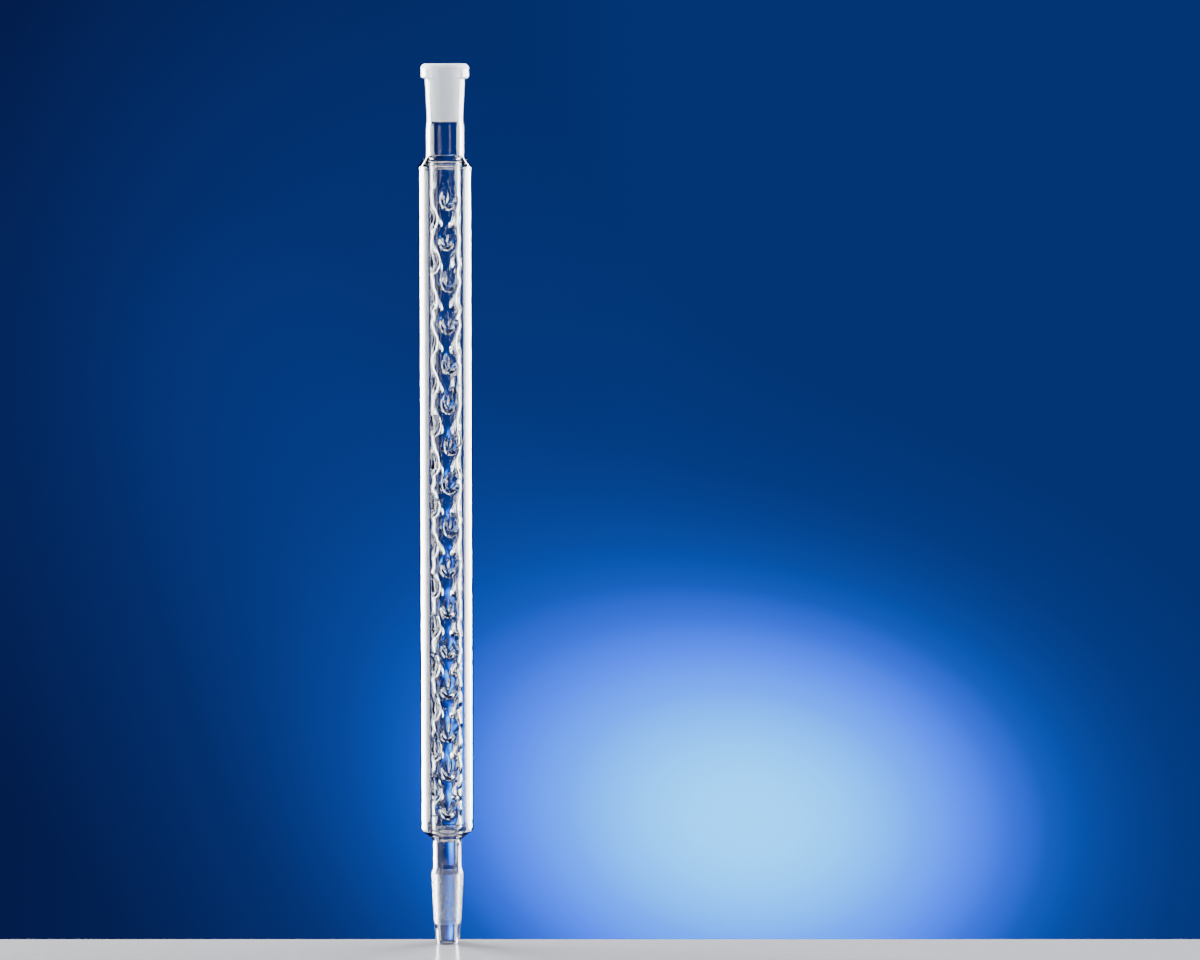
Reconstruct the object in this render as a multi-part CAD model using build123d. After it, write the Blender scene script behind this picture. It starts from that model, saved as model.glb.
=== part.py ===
from build123d import *
import math
import os

# A Vigreux fractionating column inside a closed glass insulating jacket, with a ground socket on top
# and a ground cone with a drip tip below. Millimetres. Z is the column's axis and points up. The
# origin is on the axis, in the plane where the lower ground cone is widest.

# Ground joints, one standard size for both ends
joint_diameter = 14.5  # wide end of the ground taper
joint_length = 23.0  # length of the ground taper
joint_taper = 0.1  # diameter lost per millimetre of length

# Ground socket
socket_runout = 2.2  # how far the grinding runs on past the narrow end of the joint
socket_wall = 2.05
rim_height = 6.6
rim_projection = 1.75  # how far the beaded rim stands out from the socket's wall
rim_top_round = 1.7
rim_under_round = 0.9
rim_root_round = 0.7
rim_round_share = 0.52  # most of the projection that either round under the rim may take
mouth_round = 0.4

# Clear tube between the socket and the jacket
upper_neck_diameter = 17.3
upper_neck_wall = 1.8
upper_neck_length = 14.5
socket_flare = 1.9  # length over which the neck tapers into the socket

# Insulating jacket
jacket_diameter = 24.0
jacket_wall = 1.5
jacket_length = 294.0  # straight length between the two ring seals

# Ring seals that join the jacket, the inner tube and a neck
upper_seal_height = 7.2
lower_seal_height = 6.6
seal_swelling = 0.5  # how far the upper seal is puffed out past the jacket
seal_corner_rise = 0.9  # height of the shoulder's outer corner from the jacket's end
seal_corner_round = 1.1
seal_neck_land = 0.9  # straight length under a neck, before the shoulder begins
seal_neck_round = 1.4
seal_wall = 1.9  # glass between the shoulder and the space inside the jacket
seal_crotch_round = 0.8
seal_round_share = 0.3  # most of the gap round the inner tube that the crotch's round may take
tube_stub = 0.3  # how far the seal runs on along the inner tube, past the crotch's round

# Vigreux tube
tube_diameter = 14.0
tube_wall = 1.2

# Thorns: hollow cones with round tips, pushed in from opposite sides and slanting down
thorn_pitch = 9.1  # height from one pair to the next
thorn_top_margin = 14.0  # from the tube's upper end to the middle of the first pair's mouths
thorn_bottom_margin = 9.0  # least height from the tube's lower end to the last pair's mouths
thorn_quarter_turn = 90.0  # from one pair to the next
thorn_slope = 42.0  # degrees below the horizontal
thorn_mouth_radius = 2.95
thorn_tip_radius = 0.9
thorn_wall = 1.1
thorn_gap = 1.2  # between the tips of a pair
thorn_overrun = 6.0  # how far a thorn's cutting cone reaches out past the tube

# Clear tube between the jacket and the cone
lower_neck_diameter = 13.1
lower_neck_wall = 1.5
lower_neck_length = 14.2
cone_flare = 2.0  # length over which the neck widens to the cone

# Ground cone and drip tip
cone_wall = 1.5
cone_bevel = 0.25
tip_length = 9.1
tip_draw = 0.5  # radius lost along the tip
tip_wall = 1.35
tip_outer_round = 0.75
tip_inner_round = 0.45
tip_outer_share = 0.58  # most of the tip's wall that its outer round may take
tip_inner_share = 0.38

# Radii worked out from the sizes above
joint_radius = joint_diameter / 2
cone_narrow_radius = joint_radius - joint_taper * joint_length / 2
cone_narrow_bore = cone_narrow_radius - cone_wall
socket_length = joint_length + socket_runout
socket_narrow_bore = joint_radius - joint_taper * socket_length / 2
socket_narrow_radius = socket_narrow_bore + socket_wall
socket_rim_bore = joint_radius - joint_taper * rim_height / 2
socket_shoulder_radius = socket_rim_bore + socket_wall
rim_radius = socket_shoulder_radius + rim_projection
upper_neck_radius = upper_neck_diameter / 2
upper_neck_bore = upper_neck_radius - upper_neck_wall
lower_neck_radius = lower_neck_diameter / 2
lower_neck_bore = lower_neck_radius - lower_neck_wall
jacket_radius = jacket_diameter / 2
jacket_bore = jacket_radius - jacket_wall
tube_radius = tube_diameter / 2
tube_bore = tube_radius - tube_wall

# Heights worked out from the sizes above
cone_bottom = -joint_length
tip_bottom = cone_bottom - tip_length
jacket_bottom = lower_neck_length + lower_seal_height
jacket_top = jacket_bottom + jacket_length
neck_bottom = jacket_top + upper_seal_height
neck_top = neck_bottom + upper_neck_length
socket_top = neck_top + socket_length


def turned(points, rounds=()):
    """Body turned about Z from an outline of (radius, height) points; rounds holds (point, radius)."""
    outline = make_face(Polyline(*points, close=True))
    for point, radius in rounds:
        corner = outline.vertices().sort_by_distance(point)[0]
        outline = fillet(corner, radius)
    return revolve(Plane.XZ * outline, Axis.Z)


def ground_socket():
    """Tapered ground bore under a heavy beaded rim."""
    mouth = (joint_radius, socket_top)
    rim_edge = (rim_radius, socket_top)
    rim_foot = (rim_radius, socket_top - rim_height)
    shoulder = (socket_shoulder_radius, socket_top - rim_height)
    outer_end = (socket_narrow_radius, neck_top)
    bore_end = (socket_narrow_bore, neck_top)
    rounds = [
        (mouth, mouth_round),
        (rim_edge, rim_top_round),
        (rim_foot, min(rim_under_round, rim_round_share * rim_projection)),
        (shoulder, min(rim_root_round, (1 - rim_round_share) * rim_projection)),
    ]
    return turned([bore_end, outer_end, shoulder, rim_foot, rim_edge, mouth], rounds)


def upper_neck():
    """Clear tube that tapers into the socket at its upper end."""
    flare_start = neck_top - socket_flare
    return turned(
        [
            (upper_neck_bore, neck_bottom),
            (upper_neck_radius, neck_bottom),
            (upper_neck_radius, flare_start),
            (socket_narrow_radius, neck_top),
            (socket_narrow_bore, neck_top),
            (upper_neck_bore, flare_start),
        ]
    )


def seal_crotch(jacket_end, neck_end):
    """Height and round of the crotch beside the inner tube, and the height where that tube begins."""
    way = math.copysign(1, neck_end - jacket_end)
    gap = jacket_bore - tube_radius
    depth = abs(neck_end - jacket_end) - seal_neck_land - seal_wall
    half_angle = math.atan2(gap, depth - seal_corner_rise) / 2
    crotch_round = min(seal_crotch_round, seal_round_share * gap)
    crotch_height = jacket_end + way * depth
    tube_end = crotch_height - way * (crotch_round / math.tan(half_angle) + tube_stub)
    return crotch_height, crotch_round, tube_end


def ring_seal(jacket_end, neck_end, neck_radius, neck_bore, swelling):
    """Shoulder that joins the end of the jacket, the inner tube and a neck."""
    way = math.copysign(1, neck_end - jacket_end)
    crotch_height, crotch_round, tube_end = seal_crotch(jacket_end, neck_end)
    corner = (jacket_radius + swelling, jacket_end + way * seal_corner_rise)
    neck_foot = (neck_radius, neck_end - way * seal_neck_land)
    bore_foot = (neck_bore, neck_end - way * seal_neck_land)
    crotch = (tube_radius, crotch_height)
    roof = (jacket_bore, jacket_end + way * seal_corner_rise)
    rounds = [
        (corner, seal_corner_round),
        (neck_foot, seal_neck_round),
        (crotch, crotch_round),
        (roof, crotch_round),
    ]
    return turned(
        [
            (jacket_radius, jacket_end),
            corner,
            neck_foot,
            (neck_radius, neck_end),
            (neck_bore, neck_end),
            bore_foot,
            (tube_bore, tube_end),
            (tube_radius, tube_end),
            crotch,
            roof,
            (jacket_bore, jacket_end),
        ],
        rounds,
    )


def jacket_tube():
    """Straight insulating tube."""
    return turned(
        [
            (jacket_bore, jacket_bottom),
            (jacket_radius, jacket_bottom),
            (jacket_radius, jacket_top),
            (jacket_bore, jacket_top),
        ]
    )


def thorn(growth):
    """Round-tipped cone on Z, its mouth at height 0; growth thickens it all over."""
    reach = (tube_radius - thorn_gap / 2 - thorn_wall - thorn_tip_radius) / math.cos(
        math.radians(thorn_slope)
    )
    span = math.hypot(thorn_mouth_radius, reach)
    flank = math.acos(thorn_tip_radius / span) - math.atan2(reach, thorn_mouth_radius)
    tip = thorn_tip_radius + growth
    mouth = thorn_mouth_radius + growth / math.cos(flank)
    mid = (flank + math.pi / 2) / 2
    start = (0, -thorn_overrun)
    rim = (mouth + thorn_overrun * math.tan(flank), -thorn_overrun)
    touch = (tip * math.cos(flank), reach + tip * math.sin(flank))
    halfway = (tip * math.cos(mid), reach + tip * math.sin(mid))
    pole = (0, reach + tip)
    outline = Polyline(start, rim, touch) + ThreePointArc(touch, halfway, pole)
    outline += Line(pole, start)
    return revolve(Plane.XZ * make_face(outline), Axis.Z)


def thorn_places(lower_end, upper_end):
    """Planes at the mouths of all thorns, their Z axes pointing in and down."""
    room = upper_end - lower_end - thorn_top_margin - thorn_bottom_margin
    levels = 1 + int(room / thorn_pitch)
    places = []
    for level in range(levels):
        height = upper_end - thorn_top_margin - level * thorn_pitch
        for side in (0, 180):
            turn = math.radians(side + thorn_quarter_turn * (level + 1))
            out = Vector(math.cos(turn), math.sin(turn), 0)
            mouth = out * tube_radius + Vector(0, 0, height)
            inward = -out - Vector(0, 0, math.tan(math.radians(thorn_slope)))
            places.append(Plane(origin=mouth, z_dir=inward))
    return places


def vigreux_tube():
    """Inner tube with opposed pairs of slanting thorns, each pair a quarter turn from the last."""
    lower_end = seal_crotch(jacket_bottom, lower_neck_length)[2]
    upper_end = seal_crotch(jacket_top, neck_bottom)[2]
    base = Align.CENTER, Align.CENTER, Align.MIN
    seat = Location((0, 0, lower_end))
    skin = seat * Cylinder(tube_radius, upper_end - lower_end, align=base)
    bore = seat * Cylinder(tube_bore, upper_end - lower_end, align=base)
    places = thorn_places(lower_end, upper_end)
    dent = thorn(0)
    finger = thorn(thorn_wall)
    skin -= [place * dent for place in places]
    bore -= [place * finger for place in places]
    return skin - bore


def lower_neck():
    """Clear tube that widens to the ground cone at its lower end."""
    return turned(
        [
            (lower_neck_bore, 0),
            (joint_radius, 0),
            (lower_neck_radius, cone_flare),
            (lower_neck_radius, lower_neck_length),
            (lower_neck_bore, lower_neck_length),
        ]
    )


def ground_cone():
    """Ground taper, bevelled at its narrow end."""
    return turned(
        [
            (cone_narrow_bore, cone_bottom),
            (cone_narrow_radius - cone_bevel, cone_bottom),
            (cone_narrow_radius, cone_bottom + cone_bevel),
            (joint_radius, 0),
            (lower_neck_bore, 0),
        ]
    )


def drip_tip():
    """Clear spout with a fire-polished end."""
    end_radius = cone_narrow_radius - cone_bevel - tip_draw
    outer_end = (end_radius, tip_bottom)
    inner_end = (end_radius - tip_wall, tip_bottom)
    return turned(
        [
            inner_end,
            outer_end,
            (cone_narrow_radius - cone_bevel, cone_bottom),
            (cone_narrow_bore, cone_bottom),
        ],
        [
            (outer_end, min(tip_outer_round, tip_outer_share * tip_wall)),
            (inner_end, min(tip_inner_round, tip_inner_share * tip_wall)),
        ],
    )


nodes = {
    "ground_socket": ground_socket(),
    "upper_neck": upper_neck(),
    "upper_ring_seal": ring_seal(
        jacket_top, neck_bottom, upper_neck_radius, upper_neck_bore, seal_swelling
    ),
    "jacket_tube": jacket_tube(),
    "vigreux_tube": vigreux_tube(),
    "lower_ring_seal": ring_seal(
        jacket_bottom, lower_neck_length, lower_neck_radius, lower_neck_bore, 0
    ),
    "lower_neck": lower_neck(),
    "ground_cone": ground_cone(),
    "drip_tip": drip_tip(),
}

os.makedirs("parts", exist_ok=True)
for name, shape in nodes.items():
    export_step(shape, f"parts/{name}.step")
    print(name, round(shape.volume, 1), shape.bounding_box())
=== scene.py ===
import math

import bpy
import numpy as np
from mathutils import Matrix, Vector


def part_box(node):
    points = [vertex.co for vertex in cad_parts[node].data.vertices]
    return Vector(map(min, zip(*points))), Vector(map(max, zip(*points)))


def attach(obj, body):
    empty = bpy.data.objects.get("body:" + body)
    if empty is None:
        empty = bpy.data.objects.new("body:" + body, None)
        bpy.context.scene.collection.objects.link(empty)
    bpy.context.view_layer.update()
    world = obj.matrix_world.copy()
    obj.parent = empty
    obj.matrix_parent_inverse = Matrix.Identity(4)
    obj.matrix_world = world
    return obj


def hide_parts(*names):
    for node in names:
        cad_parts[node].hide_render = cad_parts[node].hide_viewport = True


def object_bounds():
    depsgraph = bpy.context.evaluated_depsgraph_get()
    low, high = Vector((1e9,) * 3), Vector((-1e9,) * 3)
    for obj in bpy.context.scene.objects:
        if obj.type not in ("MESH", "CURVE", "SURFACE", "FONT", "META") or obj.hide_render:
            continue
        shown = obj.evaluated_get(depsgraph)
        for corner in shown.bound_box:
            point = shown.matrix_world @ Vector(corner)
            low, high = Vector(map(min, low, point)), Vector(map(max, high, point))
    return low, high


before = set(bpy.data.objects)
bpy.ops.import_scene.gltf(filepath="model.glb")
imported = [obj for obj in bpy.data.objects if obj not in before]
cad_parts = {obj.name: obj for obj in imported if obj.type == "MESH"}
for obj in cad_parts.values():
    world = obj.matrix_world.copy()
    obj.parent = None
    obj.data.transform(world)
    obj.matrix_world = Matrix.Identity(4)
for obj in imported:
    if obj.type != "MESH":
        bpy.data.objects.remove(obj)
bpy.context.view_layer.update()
mm = 0.001
body = "root"


class Socket:
    # an output or a number, so that shader maths reads as ordinary maths
    def __init__(self, paint, value):
        self.paint, self.value = paint, value

    def join(self, operation, *others, turned=False):
        values = [self, *others]
        if turned:
            values.reverse()
        return self.paint.node("ShaderNodeMath", {"operation": operation}, values)

    def __add__(self, other):
        return self.join("ADD", other)

    def __radd__(self, other):
        return self.join("ADD", other, turned=True)

    def __sub__(self, other):
        return self.join("SUBTRACT", other)

    def __rsub__(self, other):
        return self.join("SUBTRACT", other, turned=True)

    def __mul__(self, other):
        return self.join("MULTIPLY", other)

    def __rmul__(self, other):
        return self.join("MULTIPLY", other, turned=True)

    def __truediv__(self, other):
        return self.join("DIVIDE", other)

    def __pow__(self, other):
        return self.join("POWER", other)


class Paint:
    # one material or world and the nodes in it
    def __init__(self, owner):
        owner.use_nodes = True
        self.owner, self.tree = owner, owner.node_tree
        self.tree.nodes.clear()

    def node(self, kind, settings=None, values=(), output=0):
        made = self.tree.nodes.new(kind)
        for name, value in (settings or {}).items():
            if name == "stops":
                self.setStops(made.color_ramp, value)
            else:
                setattr(made, name, value)
        pairs = values.items() if isinstance(values, dict) else enumerate(values)
        for name, value in pairs:
            self.feed(made.inputs[name], value)
        return Socket(self, made.outputs[output]) if made.outputs else made

    def feed(self, target, value):
        value = value.value if isinstance(value, Socket) else value
        if isinstance(value, bpy.types.NodeSocket):
            self.tree.links.new(value, target)
        else:
            target.default_value = value

    def setStops(self, ramp, stops):
        while len(ramp.elements) < len(stops):
            ramp.elements.new(1.0)
        for element, (place, colour) in zip(ramp.elements, stops):
            element.position, element.color = place, (*colour, 1.0)

    def place(self, stretch=(1.0, 1.0, 1.0)):
        # the piece's own coordinates in metres, stretched
        coordinate = self.node("ShaderNodeTexCoord", output=3)
        return self.node(
            "ShaderNodeVectorMath", {"operation": "MULTIPLY"}, [coordinate, stretch]
        )

    def noise(self, stretch, scale, detail=2.0, rough=0.5):
        return self.node(
            "ShaderNodeTexNoise",
            None,
            {"Vector": self.place(stretch), "Scale": scale, "Detail": detail, "Roughness": rough},
        )

    def bump(self, height):
        # height is in metres
        values = {"Strength": 1.0, "Distance": 1.0, "Height": height}
        return self.node("ShaderNodeBump", None, values)

    def mixColour(self, share, first, second):
        mixed = self.node("ShaderNodeMix", {"data_type": "RGBA"}, output=2)
        made = mixed.value.node
        self.feed(made.inputs[0], share)
        self.feed(made.inputs[6], (*first, 1.0))
        self.feed(made.inputs[7], (*second, 1.0))
        return mixed

    def finish(self, shader, kind="ShaderNodeOutputMaterial"):
        self.node(kind, None, {"Surface": shader})
        return self.owner


clearLook = {
    "tint": (0.985, 0.993, 0.992),
    "deepTint": (0.962, 0.982, 0.98),
    "index": 1.473,
    "drawScale": 420.0,  # draw lines round the tube, per metre
    "drawStretch": (1.0, 1.0, 0.012),
    "drawDepth": 0.00002,
    "swirlScale": 90.0,
    "swirlStretch": (1.0, 1.0, 0.35),
    "swirlDepth": 0.00006,
    "filmScale": 60.0,  # where the surface is faintly less clean
    "filmStretch": (1.0, 1.0, 0.2),
    "filmDetail": 4.0,
    "filmRough": 0.6,
    "roughLow": 0.0,
    "roughHigh": 0.012,
}

groundLook = {
    # near-white ground glass given a bluish cast, which is painted blue backdrop light seen
    # through it; the patch noise mixes tint and shade at random
    "tint": (0.975, 0.99, 0.998),
    "shade": (0.93, 0.962, 0.985),
    "index": 1.473,
    "grainScale": 9000.0,
    "grainStretch": (1.0, 1.0, 1.0),
    "grainRough": 0.7,
    "grainDepth": 0.000012,
    "lineScale": 2600.0,
    "lineStretch": (0.05, 0.05, 1.0),  # faint rings left by the grinding tool
    "lineDepth": 0.000006,
    "patchScale": 160.0,
    "patchStretch": (1.0, 1.0, 0.6),
    "roughLow": 0.23,
    "roughHigh": 0.31,
    "clearShare": 1.0,  # the rest scatters as white glass does
}


def clearGlass(name, changes=None):
    look = {**clearLook, **(changes or {})}
    paint = Paint(bpy.data.materials.new(name))
    draw = paint.noise(look["drawStretch"], look["drawScale"], 3.0)
    swirl = paint.noise(look["swirlStretch"], look["swirlScale"], 2.0)
    film = paint.noise(
        look["filmStretch"], look["filmScale"], look["filmDetail"], look["filmRough"]
    )
    bump = paint.bump(draw * look["drawDepth"] + swirl * look["swirlDepth"])
    rough = look["roughLow"] + film**3 * (look["roughHigh"] - look["roughLow"])
    shader = paint.node(
        "ShaderNodeBsdfPrincipled",
        None,
        {
            "Base Color": paint.mixColour(swirl, look["tint"], look["deepTint"]),
            "Roughness": rough,
            "IOR": look["index"],
            "Transmission Weight": 1.0,
            "Normal": bump,
        },
    )
    return paint.finish(shader)


def groundGlass(name, changes=None):
    look = {**groundLook, **(changes or {})}
    paint = Paint(bpy.data.materials.new(name))
    grain = paint.noise(look["grainStretch"], look["grainScale"], 2.0, look["grainRough"])
    lines = paint.noise(look["lineStretch"], look["lineScale"], 2.0)
    patch = paint.noise(look["patchStretch"], look["patchScale"], 3.0)
    bump = paint.bump(grain * look["grainDepth"] + lines * look["lineDepth"])
    rough = look["roughLow"] + patch * (look["roughHigh"] - look["roughLow"])
    shader = paint.node(
        "ShaderNodeBsdfPrincipled",
        None,
        {
            # the blue cast in this colour is painted backdrop light; the patchy mix is random
            # tone
            "Base Color": paint.mixColour(patch, look["tint"], look["shade"]),
            "Roughness": rough,
            "IOR": look["index"],
            "Transmission Weight": look["clearShare"],
            "Normal": bump,
        },
    )
    return paint.finish(shader)


def fusedSeam(name):
    # where two zones are melted together there is no surface, so light goes straight through
    paint = Paint(bpy.data.materials.new(name))
    shader = paint.node(
        "ShaderNodeBsdfPrincipled", None, {"Base Color": (1.0, 1.0, 1.0, 1.0), "Alpha": 0.0}
    )
    return paint.finish(shader)


finishes = {
    "clear": clearGlass("clearGlass"),
    "jacket": clearGlass("jacketGlass", {"swirlDepth": 0.000012, "drawDepth": 0.000012}),
    "worked": clearGlass(
        "workedGlass",
        {"tint": (0.995, 0.99, 0.965), "deepTint": (0.985, 0.975, 0.93), "swirlDepth": 0.00009},
    ),
    "socketGround": groundGlass(
        "socketGroundGlass",
        {
            # bluer still: painted blue backdrop light seen through the frosted socket
            "tint": (0.955, 0.985, 1.0),
            "shade": (0.88, 0.94, 0.985),
            "roughLow": 0.7,
            "roughHigh": 0.85,
            "clearShare": 0.7,
        },
    ),
    "coneGround": groundGlass("coneGroundGlass"),
    "seam": fusedSeam("fusedSeam"),
}
print("materials made")


def roundedOutline(corners, arcStep=math.radians(9)):
    # corners are (radius, height, round, finish), and finish is that of the wall after the corner
    outline = []
    count = len(corners)
    for index, (radius, height, bend, finish) in enumerate(corners):
        here = Vector((radius, height))
        before = Vector(corners[index - 1][:2]) - here
        after = Vector(corners[(index + 1) % count][:2]) - here
        if bend <= 0:
            outline.append((here.x, here.y, finish))
            continue
        corner = before.angle(after)
        turn = math.pi - corner
        reach = bend / math.tan(corner / 2)
        start = here + before.normalized() * reach
        bisector = (before.normalized() + after.normalized()).normalized()
        centre = here + bisector * (bend / math.sin(corner / 2))
        steps = max(2, math.ceil(turn / arcStep))
        arm = start - centre
        way = 1 if before.normalized().cross(after.normalized()) < 0 else -1
        for step in range(steps + 1):
            angle = way * turn * step / steps
            swung = Vector(
                (
                    arm.x * math.cos(angle) - arm.y * math.sin(angle),
                    arm.x * math.sin(angle) + arm.y * math.cos(angle),
                )
            )
            point = centre + swung
            outline.append((point.x, point.y, finish))
    return outline


def subdivided(outline, longest):
    # splits long walls into lengths no longer than the longest, in millimetres
    fine = []
    count = len(outline)
    for index, (radius, height, finish) in enumerate(outline):
        nextRadius, nextHeight, _ = outline[(index + 1) % count]
        length = math.hypot(nextRadius - radius, nextHeight - height)
        pieces = max(1, math.ceil(length / longest))
        for step in range(pieces):
            share = step / pieces
            midRadius = radius + (nextRadius - radius) * share
            midHeight = height + (nextHeight - height) * share
            fine.append((midRadius, midHeight, finish))
    return fine


def meshObject(name, points, faces, slotOfFace, slotNames, sharpEdges=()):
    mesh = bpy.data.meshes.new(name)
    mesh.from_pydata(points.tolist(), [], faces)
    for slotName in slotNames:
        mesh.materials.append(finishes[slotName])
    mesh.polygons.foreach_set("material_index", slotOfFace)
    mesh.polygons.foreach_set("use_smooth", [True] * len(faces))
    if len(sharpEdges):
        wanted = {tuple(sorted(edge)) for edge in sharpEdges}
        for edge in mesh.edges:
            if tuple(sorted(edge.vertices)) in wanted:
                edge.use_edge_sharp = True
    mesh.validate()
    mesh.update()
    piece = bpy.data.objects.new(name, mesh)
    bpy.context.scene.collection.objects.link(piece)
    return piece


def turnedPiece(name, outline, sides=192, sharpTurn=math.radians(24)):
    # a closed ring-shaped body turned about Z from an outline in millimetres
    count = len(outline)
    following = outline[1:] + outline[:1]
    spanned = sum(
        here[0] * there[1] - there[0] * here[1] for here, there in zip(outline, following)
    )
    if spanned < 0:  # told the other way round, so turn it over and its walls' finishes with it
        walls = [outline[row - 1][2] for row in range(count)]
        outline = [(point[0], point[1], wall) for point, wall in zip(outline, walls)][::-1]
    angles = np.arange(sides) * 2 * math.pi / sides
    rings = np.zeros((count, sides, 3))
    for row, (radius, height, _) in enumerate(outline):
        rings[row, :, 0] = radius * np.cos(angles)
        rings[row, :, 1] = radius * np.sin(angles)
        rings[row, :, 2] = height
    slotNames = []
    faces, slots, sharp = [], [], []
    for row in range(count):
        finish = outline[row][2]
        if finish not in slotNames:
            slotNames.append(finish)
        after = (row + 1) % count
        for side in range(sides):
            beside = (side + 1) % sides
            faces.append(
                (
                    row * sides + side,
                    row * sides + beside,
                    after * sides + beside,
                    after * sides + side,
                )
            )
            slots.append(slotNames.index(finish))
        back = Vector(outline[row][:2]) - Vector(outline[row - 1][:2])
        ahead = Vector(outline[after][:2]) - Vector(outline[row][:2])
        if back.length > 0 and ahead.length > 0 and back.angle(ahead) > sharpTurn:
            ring = row * sides
            sharp += [(ring + side, ring + (side + 1) % sides) for side in range(sides)]
    return meshObject(name, rings.reshape(-1, 3) * mm, faces, slots, slotNames, sharp)


def settle(piece, node):
    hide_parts(node)
    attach(piece, body)
    print("made", piece.name)


def span(node):
    # lowest and highest point and greatest radius of a node, in millimetres
    low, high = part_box(node)
    return low.z / mm, high.z / mm, high.x / mm


# sizes the pieces share, in millimetres
common = {
    "jointTaper": 0.05,  # radius lost per millimetre of length
    "upperNeckWall": 1.8,
    "lowerNeckWall": 1.5,
    "lowerNeckStep": 0.45,  # how much less its radius is than the inner tube's
    "jacketWall": 1.5,
    "tubeWall": 1.2,
    "socketWall": 2.05,
    "coneWall": 1.5,
    "coneBevel": 0.25,
}


def groundSocket():
    shape = {
        "rimHeight": 6.6,
        "topRound": 2.3,
        "underRound": 1.2,
        "rootRound": 0.7,
        "mouthRound": 0.4,
    }
    low, high, rimRadius = span("ground_socket")
    jointRadius = span("lower_neck")[2]
    rimFoot = high - shape["rimHeight"]
    shoulder = jointRadius - common["jointTaper"] * shape["rimHeight"] + common["socketWall"]
    boreEnd = jointRadius - common["jointTaper"] * (high - low)
    corners = [
        (boreEnd, low, 0, "seam"),
        (boreEnd + common["socketWall"], low, 0, "clear"),
        (shoulder, rimFoot, shape["rootRound"], "clear"),
        (rimRadius, rimFoot, shape["underRound"], "clear"),
        (rimRadius, high, shape["topRound"], "socketGround"),
        (jointRadius, high, shape["mouthRound"], "socketGround"),
    ]
    settle(turnedPiece("groundSocket", roundedOutline(corners)), "ground_socket")


def upperNeck():
    shape = {"flare": 1.9, "outerRound": 2.5, "innerRound": 1.0}
    low, high, radius = span("upper_neck")
    flareFoot = high - shape["flare"]
    bore = radius - common["upperNeckWall"]
    jointRadius = span("lower_neck")[2]
    socketLow, socketHigh, _ = span("ground_socket")
    boreEnd = jointRadius - common["jointTaper"] * (socketHigh - socketLow)
    corners = [
        (bore, low, 0, "seam"),
        (radius, low, 0, "clear"),
        (radius, flareFoot, shape["outerRound"], "clear"),
        (boreEnd + common["socketWall"], high, 0, "seam"),
        (boreEnd, high, 0, "clear"),
        (bore, flareFoot, shape["innerRound"], "clear"),
    ]
    settle(turnedPiece("upperNeck", roundedOutline(corners)), "upper_neck")


def lowerNeckRadius():
    return span("vigreux_tube")[2] - common["lowerNeckStep"]


def lowerNeck():
    shape = {"flare": 2.0, "round": 1.6}
    low, high, jointRadius = span("lower_neck")
    radius = lowerNeckRadius()
    bore = radius - common["lowerNeckWall"]
    corners = [
        (bore, low, 0, "seam"),
        (jointRadius, low, 0, "clear"),
        (radius, low + shape["flare"], shape["round"], "clear"),
        (radius, high, 0, "seam"),
        (bore, high, 0, "clear"),
    ]
    settle(turnedPiece("lowerNeck", roundedOutline(corners)), "lower_neck")


def groundCone():
    low, high, wide = span("ground_cone")
    narrow = wide - common["jointTaper"] * (high - low)
    topBore = lowerNeckRadius() - common["lowerNeckWall"]
    corners = [
        (narrow - common["coneWall"], low, 0, "seam"),
        (narrow - common["coneBevel"], low, 0, "clear"),
        (narrow, low + common["coneBevel"], 0, "coneGround"),
        (wide, high, 0, "seam"),
        (topBore, high, 0, "clear"),
    ]
    settle(turnedPiece("groundCone", roundedOutline(corners)), "ground_cone")


def dripTip():
    shape = {"draw": 0.5, "wall": 1.35, "outerRound": 0.75, "innerRound": 0.45}
    low, high, wide = span("drip_tip")
    end = wide - shape["draw"]
    bore = wide + common["coneBevel"] - common["coneWall"]
    corners = [
        (end - shape["wall"], low, shape["innerRound"], "clear"),
        (end, low, shape["outerRound"], "clear"),
        (wide, high, 0, "seam"),
        (bore, high, 0, "clear"),
    ]
    settle(turnedPiece("dripTip", roundedOutline(corners)), "drip_tip")


def jacketTube():
    shape = {"longestWall": 6.0, "sides": 224}
    low, high, radius = span("jacket_tube")
    corners = [
        (radius - common["jacketWall"], low, 0, "seam"),
        (radius, low, 0, "jacket"),
        (radius, high, 0, "seam"),
        (radius - common["jacketWall"], high, 0, "jacket"),
    ]
    outline = subdivided(roundedOutline(corners), shape["longestWall"])
    settle(turnedPiece("jacketTube", outline, shape["sides"]), "jacket_tube")


# the ring seals, in millimetres, told from the jacket's end towards the neck
sealShape = {
    "cornerRise": 0.9,
    "cornerRound": 1.1,
    "neckLand": 0.9,
    "neckRound": 1.4,
    "neckBoreRound": 0.8,
    "wall": 1.9,
    "crotchRound": 0.8,
    "upperSwelling": 0.5,  # how far the upper seal stands out past the jacket
    "lowerSwelling": 0.0,
}


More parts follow.
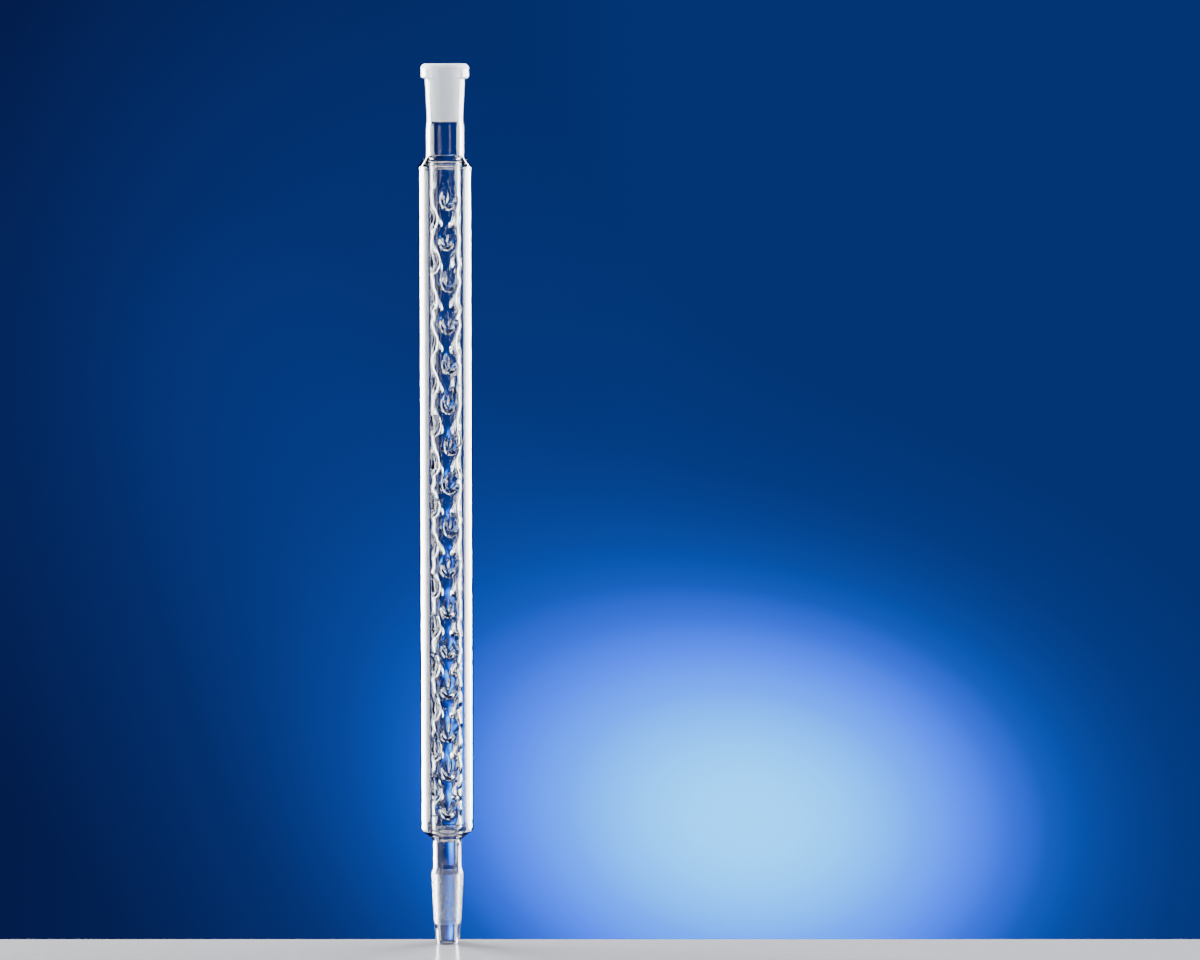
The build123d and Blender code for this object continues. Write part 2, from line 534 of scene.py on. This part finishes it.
def ringSeal(name, node, jacketEnd, neckEnd, neckRadius, neckWall, swelling, tubeEnd):
    way = 1 if neckEnd > jacketEnd else -1
    jacketRadius = span("jacket_tube")[2]
    tubeRadius = span("vigreux_tube")[2]
    land = way * sealShape["neckLand"]
    rise = jacketEnd + way * sealShape["cornerRise"]
    crotch = neckEnd - land - way * sealShape["wall"]
    neckBore = neckRadius - neckWall
    corners = [
        (jacketRadius, jacketEnd, 0, "worked"),
        (jacketRadius + swelling, rise, sealShape["cornerRound"], "worked"),
        (neckRadius, neckEnd - land, sealShape["neckRound"], "worked"),
        (neckRadius, neckEnd, 0, "seam"),
        (neckBore, neckEnd, 0, "worked"),
        (neckBore, neckEnd - land, sealShape["neckBoreRound"], "worked"),
        (tubeRadius - common["tubeWall"], tubeEnd, 0, "seam"),
        (tubeRadius, tubeEnd, 0, "worked"),
        (tubeRadius, crotch, sealShape["crotchRound"], "worked"),
        (jacketRadius - common["jacketWall"], rise, sealShape["crotchRound"], "worked"),
        (jacketRadius - common["jacketWall"], jacketEnd, 0, "seam"),
    ]
    settle(turnedPiece(name, roundedOutline(corners)), node)


def ringSeals():
    jacketLow, jacketHigh, _ = span("jacket_tube")
    tubeLow, tubeHigh, _ = span("vigreux_tube")
    upperNeckLow, _, upperRadius = span("upper_neck")
    lowerNeckHigh = span("lower_neck")[1]
    ringSeal(
        "upperRingSeal", "upper_ring_seal", jacketHigh, upperNeckLow,
        upperRadius, common["upperNeckWall"], sealShape["upperSwelling"], tubeHigh,
    )
    ringSeal(
        "lowerRingSeal", "lower_ring_seal", jacketLow, lowerNeckHigh,
        lowerNeckRadius(), common["lowerNeckWall"], sealShape["lowerSwelling"], tubeLow,
    )


groundSocket()
upperNeck()
lowerNeck()
groundCone()
dripTip()
jacketTube()
ringSeals()


thorns = {
    "pitch": 9.1,
    "topMargin": 14.0,
    "levels": 31,
    "slope": math.radians(42),
    "mouthRadius": 2.95,
    "tipRadius": 0.9,
    "wall": 1.1,
    "gap": 1.2,
    "bow": 0.25,  # the long tube stands a little to one side at its middle
    "lean": 0.33,  # how far the rows stand turned from the frame's X and Y
    "seed": 7,
}

# how much hand-made thorns differ, as the spread of a normal draw
spreads = {
    "levelHeight": 0.4,
    "lean": 0.1,
    "turn": 0.13,
    "height": 0.35,
    "slope": 0.05,
    "mouth": 0.05,
    "reach": 0.035,
    "tip": 0.08,
    "mouthShare": 0.97,  # the middle of the mouths' radii, as a share of the full one
}

# the tube's mesh, in millimetres
thornMesh = {
    "heightStep": 0.91,  # spacing away from the thorns
    "roundStep": 0.98,
    "heightDensity": 1.6,  # how much closer it is at a thorn
    "roundDensity": 2.2,
    "densityReach": 2.6,
    "fineSteps": 20001,
    "mouthRise": 1.2,  # from a level's height up to the middle of its dense rows
    "rimPoints": 97,
    "sideReach": 7.0,  # how far round and along the skin a thorn is looked for
    "heightReach": 8.0,
    "farAway": 9.0,  # nearness of a point that no thorn reaches
}

softening = {"rounds": 10, "reachOut": 1.7, "fade": 0.5, "pull": 0.5, "fixedRows": 2}

# slight waves in the wall, left by the flame
waves = {
    "count": 14,
    "depth": 0.1,
    "shortest": 5.0,
    "longest": 13.0,
    "folds": 5,
    "fade": 7.0,
    "seed": 11,
}


def thornPlaces(high, radius):
    rng = np.random.default_rng(thorns["seed"])
    slope = thorns["slope"]
    reach = (radius - thorns["gap"] / 2 - thorns["wall"] - thorns["tipRadius"]) / math.cos(slope)
    places = []
    for level in range(thorns["levels"]):
        middle = high - thorns["topMargin"] - level * thorns["pitch"]
        height = middle + rng.normal(0, spreads["levelHeight"])
        lean = thorns["lean"] + rng.normal(0, spreads["lean"])
        for half in (0, 1):
            turn = math.pi * half + math.pi / 2 * (level + 1) + lean
            places.append(
                {
                    "turn": turn + rng.normal(0, spreads["turn"]),
                    "height": height + rng.normal(0, spreads["height"]),
                    "slope": slope + rng.normal(0, spreads["slope"]),
                    "mouth": thorns["mouthRadius"]
                    * (spreads["mouthShare"] + rng.normal(0, spreads["mouth"])),
                    "reach": reach * (1 - abs(rng.normal(0, spreads["reach"]))),
                    "tip": thorns["tipRadius"] * (1 + rng.normal(0, spreads["tip"])),
                }
            )
    return places


def warpedSteps(low, high, centres, closeness, step):
    # heights from low to high, closer together near the centres
    fine = np.linspace(low, high, thornMesh["fineSteps"])
    density = np.ones_like(fine)
    for centre in centres:
        density += closeness * np.exp(-(((fine - centre) / thornMesh["densityReach"]) ** 2))
    total = np.concatenate([[0], np.cumsum((density[1:] + density[:-1]) / 2 * np.diff(fine))])
    count = max(2, int(round(total[-1] / step)))
    return np.interp(np.linspace(0, total[-1], count + 1), total, fine)


def thornSkin(places, skinRadius, growth, heights, angles):
    # points of one skin of the tube, its thorns pushed in; growth is the glass between the skins
    rows, columns = len(heights), len(angles)
    grid = np.zeros((rows, columns, 3))
    grid[..., 0] = skinRadius * np.cos(angles)[None, :]
    grid[..., 1] = skinRadius * np.sin(angles)[None, :]
    grid[..., 2] = heights[:, None]
    nearness = np.full((rows, columns), thornMesh["farAway"])
    outerRadius = span("vigreux_tube")[2]
    for thorn in places:
        slope, reach, tip = thorn["slope"], thorn["reach"], thorn["tip"]
        mouthSpan = math.hypot(thorn["mouth"], reach)
        flank = math.acos(tip / mouthSpan) - math.atan2(reach, thorn["mouth"])
        ball = tip + growth
        out = np.array([math.cos(thorn["turn"]), math.sin(thorn["turn"]), 0.0])
        aside = np.array([-out[1], out[0], 0.0])
        inward = -math.cos(slope) * out - math.sin(slope) * np.array([0, 0, 1.0])
        upward = -math.sin(slope) * out + math.cos(slope) * np.array([0, 0, 1.0])
        centre = outerRadius * out + np.array([0, 0, thorn["height"]]) + reach * inward
        # the rim, where each line of the cone meets the skin
        swing = np.linspace(-math.pi, math.pi, thornMesh["rimPoints"])
        ring = np.cos(swing)[:, None] * aside + np.sin(swing)[:, None] * upward
        touch = centre + ball * (math.cos(flank) * ring + math.sin(flank) * inward)
        line = math.sin(flank) * ring - math.cos(flank) * inward
        a = line[:, 0] ** 2 + line[:, 1] ** 2
        b = touch[:, 0] * line[:, 0] + touch[:, 1] * line[:, 1]
        c = touch[:, 0] ** 2 + touch[:, 1] ** 2 - skinRadius**2
        length = (-b + np.sqrt(b * b - a * c)) / a
        rim = touch + length[:, None] * line
        rimAlong = skinRadius * np.arctan2(rim @ aside, rim @ out)
        rimUp = rim[:, 2] - thorn["height"]
        middle = (rimUp.max() + rimUp.min()) / 2
        bearing = np.unwrap(np.arctan2(rimUp - middle, rimAlong))
        distance = np.hypot(rimAlong, rimUp - middle)
        # grid points in and near the mouth
        gap = np.angle(np.exp(1j * (angles - thorn["turn"])))
        near = np.abs(gap) * skinRadius < thornMesh["sideReach"]
        tall = np.abs(heights - thorn["height"] - middle) < thornMesh["heightReach"]
        columnsNear, rowsNear = np.nonzero(near)[0], np.nonzero(tall)[0]
        along = (skinRadius * gap[columnsNear])[None, :] + 0 * heights[rowsNear][:, None]
        up = (heights[rowsNear] - thorn["height"] - middle)[:, None] + 0 * along
        heading = np.arctan2(up, along)
        # three laps of the rim, so that every heading lies between two of its points
        order = np.argsort(bearing)[:-1]
        laps = np.repeat([-2 * math.pi, 0.0, 2 * math.pi], len(order))
        bearings = np.tile(bearing[order], 3) + laps
        turned = np.interp(heading, bearings, np.tile(swing[order], 3) + laps)
        edge = np.interp(heading, bearings, np.tile(distance[order], 3))
        run = np.interp(heading, bearings, np.tile(length[order], 3))
        share = np.hypot(along, up) / edge
        capLength = ball * (math.pi / 2 - flank)
        travel = np.minimum(share, 1.0) * (capLength + run)
        lift = math.pi / 2 - np.minimum(travel, capLength) / ball
        ringAt = np.cos(turned)[..., None] * aside + np.sin(turned)[..., None] * upward
        capWay = np.cos(lift)[..., None] * ringAt + np.sin(lift)[..., None] * inward
        onCap = centre + ball * capWay
        onLine = np.maximum(travel - capLength, 0)[..., None] * (
            math.sin(flank) * ringAt - math.cos(flank) * inward
        )
        inside = share < 1.0
        block = np.ix_(rowsNear, columnsNear)
        current = grid[block]
        current[inside] = (onCap + onLine)[inside]
        grid[block] = current
        nearness[block] = np.minimum(nearness[block], share)
    return grid, nearness


def relaxed(grid, nearness):
    # fire-softens the rims: each point moves towards its neighbours, most near a rim
    weight = np.clip((softening["reachOut"] - nearness) / softening["fade"], 0, 1)
    weight *= softening["pull"]
    fixed = softening["fixedRows"]
    weight[:fixed], weight[-fixed:] = 0, 0
    for _ in range(softening["rounds"]):
        beside = (np.roll(grid, 1, 1) + np.roll(grid, -1, 1)) / 2
        above = grid.copy()
        above[1:-1] = (grid[2:] + grid[:-2]) / 2
        grid = grid + weight[..., None] * ((beside + above) / 2 - grid)
    return grid


def addWaves(skin, heights, angles, low, high):
    # the same waves go into both skins, so the wall keeps its thickness
    rng = np.random.default_rng(waves["seed"])
    swell = np.zeros((len(heights), len(angles)))
    for _ in range(waves["count"]):
        folds = rng.integers(1, waves["folds"] + 1)
        length = rng.uniform(waves["shortest"], waves["longest"]) * rng.choice([-1, 1])
        phase = folds * angles[None, :] + 2 * math.pi * heights[:, None] / length
        swell += np.cos(phase + rng.uniform(0, 2 * math.pi))
    fromLow = np.clip((heights - low) / waves["fade"], 0, 1)
    fromHigh = np.clip((high - heights) / waves["fade"], 0, 1)
    fade = fromLow * fromHigh
    swell *= waves["depth"] * fade[:, None] / math.sqrt(waves["count"] / 2)
    skin[..., 0] += swell * np.cos(angles)[None, :]
    skin[..., 1] += swell * np.sin(angles)[None, :]


def vigreuxTube():
    low, high, radius = span("vigreux_tube")
    bore = radius - common["tubeWall"]
    places = thornPlaces(high, radius)
    levelHeights = sorted(
        high - thorns["topMargin"] - level * thorns["pitch"] + thornMesh["mouthRise"]
        for level in range(thorns["levels"])
    )
    density, step = thornMesh["heightDensity"], thornMesh["heightStep"]
    heights = warpedSteps(low, high, levelHeights, density, step)
    quarters = [math.pi / 2 * quarter * radius for quarter in range(5)]
    density, step = thornMesh["roundDensity"], thornMesh["roundStep"]
    around = warpedSteps(0, 2 * math.pi * radius, quarters, density, step)[:-1] / radius
    print("vigreux grid", len(heights), len(around))
    outer = relaxed(*thornSkin(places, radius, 0.0, heights, around))
    inner = relaxed(*thornSkin(places, bore, thorns["wall"], heights, around))
    for skin in (outer, inner):
        addWaves(skin, heights, around, low, high)
        skin[..., 0] += thorns["bow"] * np.sin(math.pi * (skin[..., 2] - low) / (high - low))
    rows, columns = len(heights), len(around)
    points = np.concatenate([outer.reshape(-1, 3), inner.reshape(-1, 3)]) * mm
    count = rows * columns
    faces, sharp = [], []
    for row in range(rows - 1):
        for column in range(columns):
            beside = (column + 1) % columns
            a, b = row * columns + column, row * columns + beside
            c, d = a + columns, b + columns
            faces.append((a, b, d, c))
            faces.append((count + a, count + c, count + d, count + b))
    slots = [0] * len(faces)
    for end, row in ((0, 0), (1, rows - 1)):
        for column in range(columns):
            beside = (column + 1) % columns
            a, b = row * columns + column, row * columns + beside
            face = (a, count + a, count + b, b)
            faces.append(face if end == 0 else face[::-1])
            slots.append(1)
            sharp += [(a, b), (count + a, count + b)]
    piece = meshObject("vigreuxTube", points, faces, slots, ["clear", "seam"], sharp)
    settle(piece, "vigreux_tube")


vigreuxTube()


stageLook = {
    "backEdge": 0.009,
    "front": -0.13,
    "halfWidth": 0.5,
    "thick": 0.018,
    "colour": (0.225, 0.23, 0.24),
    "speckColour": (0.25, 0.255, 0.265),
    "speckScale": 300.0,
    "rough": 0.12,
    "roughSpread": 0.05,
    "bevel": 0.0015,
}


def tableTop():
    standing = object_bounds()[0].z
    paint = Paint(bpy.data.materials.new("paleTable"))
    speck = paint.noise((1.0, 1.0, 1.0), stageLook["speckScale"], 3.0)
    shader = paint.node(
        "ShaderNodeBsdfPrincipled",
        None,
        {
            "Base Color": paint.mixColour(speck, stageLook["colour"], stageLook["speckColour"]),
            "Roughness": stageLook["rough"] + speck * stageLook["roughSpread"],
        },
    )
    material = paint.finish(shader)
    sides = (-stageLook["halfWidth"], stageLook["halfWidth"])
    edges = (stageLook["front"], stageLook["backEdge"])
    levels = (standing - stageLook["thick"], standing)
    corners = [(x, y, z) for x in sides for y in edges for z in levels]
    faces = [(0, 1, 3, 2), (4, 6, 7, 5), (0, 4, 5, 1), (2, 3, 7, 6), (0, 2, 6, 4), (1, 5, 7, 3)]
    mesh = bpy.data.meshes.new("paleFloor")
    mesh.from_pydata(corners, [], faces)
    mesh.materials.append(material)
    floor = bpy.data.objects.new("paleFloor", mesh)
    bevel = floor.modifiers.new("edge", "BEVEL")
    bevel.width, bevel.segments = stageLook["bevel"], 3
    bpy.context.scene.collection.objects.link(floor)


backdropLook = {
    "dim": (0.004, 0.0095, 0.082),  # towards the left
    "deep": (0.0044, 0.0257, 0.185),
    "dimAt": -0.13,
    "deepAt": 0.01,
    # each lobe is where it lies, as a share of the way to the backdrop, its size and its strength
    "lobes": [
        {"x": 0.0381, "z": -0.169, "width": 0.0948, "height": 0.0701, "strength": 0.947},
        {"x": -0.0842, "z": -0.0632, "width": 0.1028, "height": 0.1143, "strength": 0.41},
    ],
    "glowStops": [
        (0.2, (0.0, 0.0, 0.0)),
        (0.3, (0.001, 0.004, 0.03)),
        (0.38, (0.002, 0.008, 0.055)),
        (0.46, (0.003, 0.017, 0.12)),
        (0.54, (0.005, 0.031, 0.23)),
        (0.62, (0.007, 0.056, 0.45)),
        (0.7, (0.004, 0.096, 1.05)),
        (0.78, (0.004, 0.19, 1.95)),
        (0.86, (0.005, 0.45, 2.5)),
        (0.93, (0.006, 0.93, 3.0)),
        (1.0, (0.007, 1.6, 3.7)),
    ],
}


def backdrop():
    look = backdropLook
    world = bpy.data.worlds.new("blueBackdrop")
    bpy.context.scene.world = world
    paint = Paint(world)
    way = paint.node("ShaderNodeTexCoord", output=0)
    parts = paint.node("ShaderNodeSeparateXYZ", None, [way]).value.node.outputs
    x, y, z = (Socket(paint, part) for part in parts)
    glow = 0.0
    for lobe in look["lobes"]:
        across = (x - lobe["x"]) / lobe["width"]
        upward = (z - lobe["z"]) / lobe["height"]
        faded = ((across * across + upward * upward) * -1.0).join("EXPONENT")
        glow = faded * lobe["strength"] + glow
    glow = glow * y.join("GREATER_THAN", 0.0)
    light = paint.node("ShaderNodeValToRGB", {"stops": look["glowStops"]}, [glow])
    share = (x - look["dimAt"]) / (look["deepAt"] - look["dimAt"])
    share = share.join("MAXIMUM", 0.0).join("MINIMUM", 1.0)
    base = paint.mixColour(share, look["dim"], look["deep"])
    both = paint.node("ShaderNodeVectorMath", {"operation": "ADD"}, [base, light])
    shader = paint.node("ShaderNodeBackground", None, {"Color": both, "Strength": 1.0})
    paint.finish(shader, "ShaderNodeOutputWorld")


# bearings in degrees from the camera's side and to the right; metres; radiance in W/(sr m2)
lampLook = {
    "colour": (1.0, 0.99, 0.975),
    "sides": [
        {
            "name": "leftSoftbox",
            "bearings": (-138.0, -100.0),
            "distance": 2.5,
            "heights": (-0.6, 1.7),
            "radiance": 86.0,
        },
        {
            "name": "rightSoftbox",
            "bearings": (98.0, 143.0),
            "distance": 2.5,
            "heights": (-0.425, 1.7),
            "radiance": 54.0,
        },
        {
            "name": "frontStrip",
            "bearings": (-42.0, -32.0),
            "distance": 2.2,
            "heights": (-0.3, 1.1),
            "radiance": 2.2,
        },
    ],
    "top": {
        "name": "topSoftbox",
        "width": 1.6,
        "deep": 0.9,
        "place": (0.0, 0.35, 1.9),
        "radiance": 11.0,
    },
}


def areaLamp(name, width, deep, radiance, place):
    light = bpy.data.lights.new(name, "AREA")
    light.shape = "RECTANGLE"
    light.size, light.size_y = width, deep
    light.energy = radiance * math.pi * width * deep
    panel = bpy.data.objects.new(name, light)
    panel.location = place
    panel.visible_camera = False
    bpy.context.scene.collection.objects.link(panel)
    return panel


def softbox(look):
    # a tall panel that faces the column
    first, last = look["bearings"]
    low, high = look["heights"]
    distance = look["distance"]
    turn = math.radians(sum(look["bearings"]) / 2)
    width = 2 * distance * math.tan(math.radians(last - first) / 2)
    middle = sum(look["heights"]) / 2
    place = (distance * math.sin(turn), -distance * math.cos(turn), middle)
    panel = areaLamp(look["name"], width, high - low, look["radiance"], place)
    panel.data.color = lampLook["colour"]
    panel.rotation_mode = "QUATERNION"
    facing = Vector((0, 0, middle)) - panel.location
    panel.rotation_quaternion = facing.to_track_quat("-Z", "Y")


def topSoftbox(look):
    areaLamp(look["name"], look["width"], look["deep"], look["radiance"], look["place"])


cameraLook = {
    "x": 0.0686,
    "distance": 1.97,
    "height": 0.358,
    "frameWidth": 0.5348,
    "aimHeight": 0.1769,
    "sensor": 36.0,
    "near": 0.01,
    "far": 20.0,
}


def makeCamera():
    view = cameraLook
    camera = bpy.data.cameras.new("camera")
    camera.sensor_width = view["sensor"]
    held = bpy.data.objects.new("camera", camera)
    held.location = (view["x"], -view["distance"], view["height"])
    aim = Vector((view["x"], 0, view["aimHeight"])) - held.location
    held.rotation_mode = "QUATERNION"
    held.rotation_quaternion = aim.to_track_quat("-Z", "Y")
    camera.lens = camera.sensor_width * aim.length / view["frameWidth"]
    camera.clip_start, camera.clip_end = view["near"], view["far"]
    bpy.context.scene.collection.objects.link(held)
    bpy.context.scene.camera = held


tableTop()
backdrop()
for sideLamp in lampLook["sides"]:
    softbox(sideLamp)
topSoftbox(lampLook["top"])
makeCamera()
print("stage, lamps and camera made")
